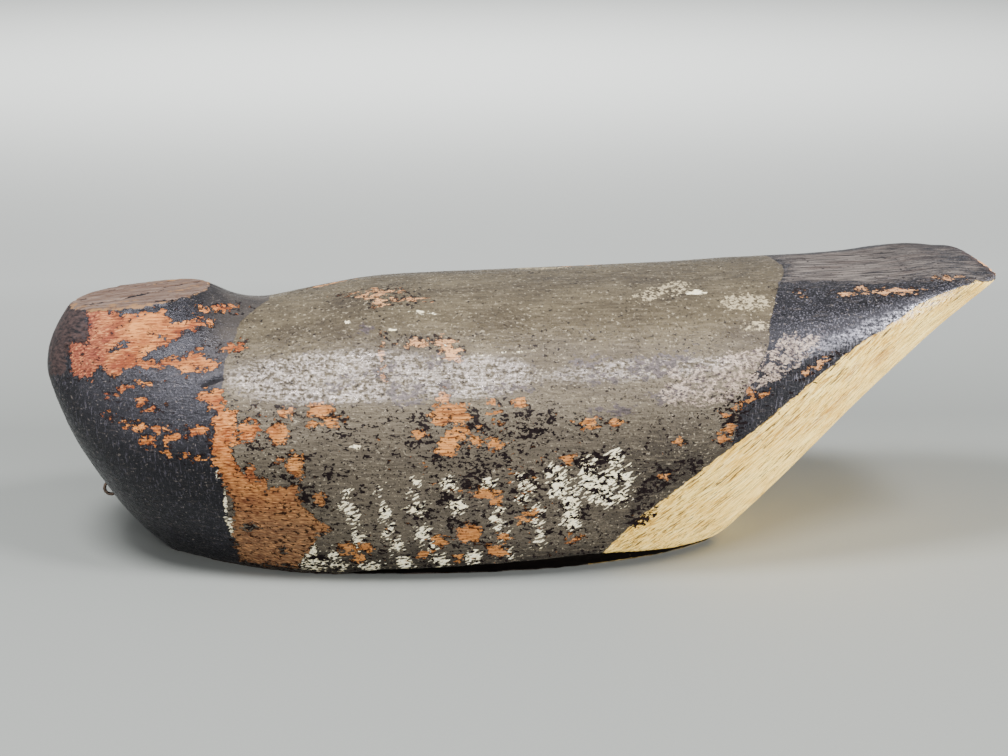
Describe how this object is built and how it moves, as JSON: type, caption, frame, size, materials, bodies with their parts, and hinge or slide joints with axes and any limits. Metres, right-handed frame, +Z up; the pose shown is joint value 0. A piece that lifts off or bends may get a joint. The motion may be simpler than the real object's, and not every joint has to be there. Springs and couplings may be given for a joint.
{
  "type": "goose decoy body",
  "caption": "Carved solid wood goose decoy without its head: flat neck seat, long upswept tail, flat underside and a small wire staple under the breast.",
  "frame": {"origin": "on the surface that the decoy stands on, under the middle of its bounding box", "axes": "+X from the breast to the tail, +Z up, and the body is the same on both sides of y = 0"},
  "size_m": [0.436, 0.174, 0.127],
  "materials": {
    "painted_wood": "old worn oil paint over bare softwood",
    "iron_wire": "dull, dark wire"
  },
  "bodies": {
    "root": {"decoy_body": "painted_wood", "line_tie_staple": "iron_wire"}
  },
  "joints": []
}
